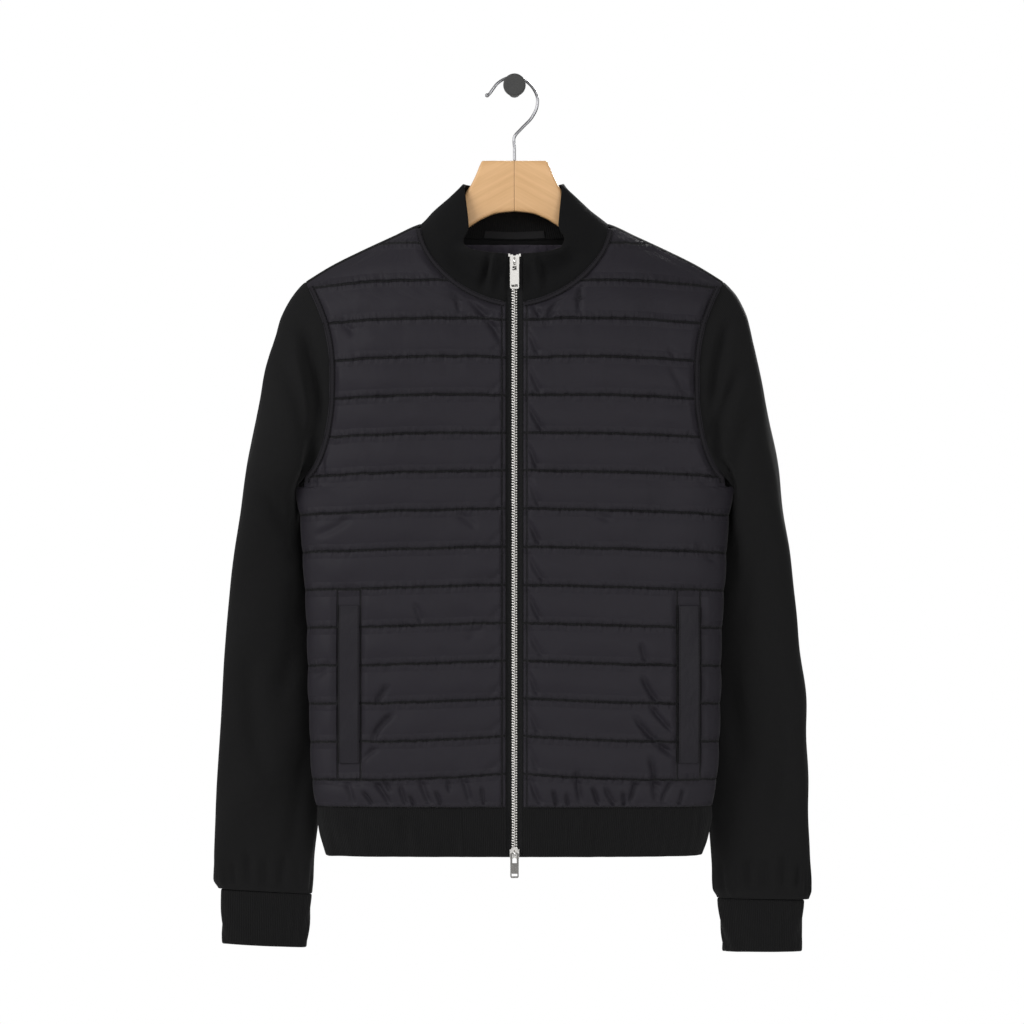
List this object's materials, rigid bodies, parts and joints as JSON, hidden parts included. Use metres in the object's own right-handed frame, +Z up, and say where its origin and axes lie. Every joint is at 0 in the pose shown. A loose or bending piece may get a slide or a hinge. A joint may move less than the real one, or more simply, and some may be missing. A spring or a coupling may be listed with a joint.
{
  "type": "quilted jacket on a wooden hanger",
  "caption": "Black zip jacket with padded, quilted fronts and plain knit back, sleeves, stand collar and bands, on a flat wooden hanger hooked over a wall peg.",
  "frame": {"origin": "middle of the wall peg's back face, which lies on the wall", "axes": "+Z up, -Y out from the wall towards the viewer, who faces the jacket's front, +X to the viewer's right"},
  "size_m": [0.6205, 0.1288, 0.9077],
  "materials": {
    "quilted_nylon": "matt woven nylon with a faint sheen",
    "black_knit": "matt heavy knit",
    "lining_nylon": "smooth thin nylon",
    "zip_tape": "matt woven tape",
    "nickel": "polished nickel plate",
    "beech": "satin clear varnish",
    "chrome": "bright plated wire",
    "dark_peg": "matt dark grey paint"
  },
  "bodies": {
    "jacket": {"armhole_band_left": "black_knit", "armhole_band_right": "black_knit", "back": "black_knit", "back_neck_lining": "lining_nylon", "collar": "black_knit", "cuff_left": "black_knit", "cuff_right": "black_knit", "front_left": "quilted_nylon", "front_right": "quilted_nylon", "hanger_left": "beech", "hanger_right": "beech", "hem_band": "black_knit", "hem_tab_left": "black_knit", "hem_tab_right": "black_knit", "hook": "chrome", "lower_slider": "nickel", "neck_band_left": "black_knit", "neck_band_right": "black_knit", "neck_tape": "lining_nylon", "pocket_welt_left": "quilted_nylon", "pocket_welt_right": "quilted_nylon", "sleeve_back_left": "black_knit", "sleeve_back_right": "black_knit", "sleeve_front_left": "black_knit", "sleeve_front_right": "black_knit", "top_stop_left": "nickel", "top_stop_right": "nickel", "upper_slider": "nickel", "wall_peg": "dark_peg", "zip_chain_left": "nickel", "zip_chain_right": "nickel", "zip_tape_left": "zip_tape", "zip_tape_right": "zip_tape"},
    "upper_pull": {"upper_pull": "nickel"},
    "lower_pull": {"lower_pull": "nickel"}
  },
  "joints": [
    {"name": "upper_pull_swing", "type": "hinge", "parent": "jacket", "child": "upper_pull", "pos_m": [0, -0.11775, -0.1842], "axis": [-1, 0, 0], "range_deg": [0, 165]},
    {"name": "lower_pull_swing", "type": "hinge", "parent": "jacket", "child": "lower_pull", "pos_m": [0, -0.12125, -0.7989], "axis": [-1, 0, 0], "range_deg": [0, 150]}
  ]
}
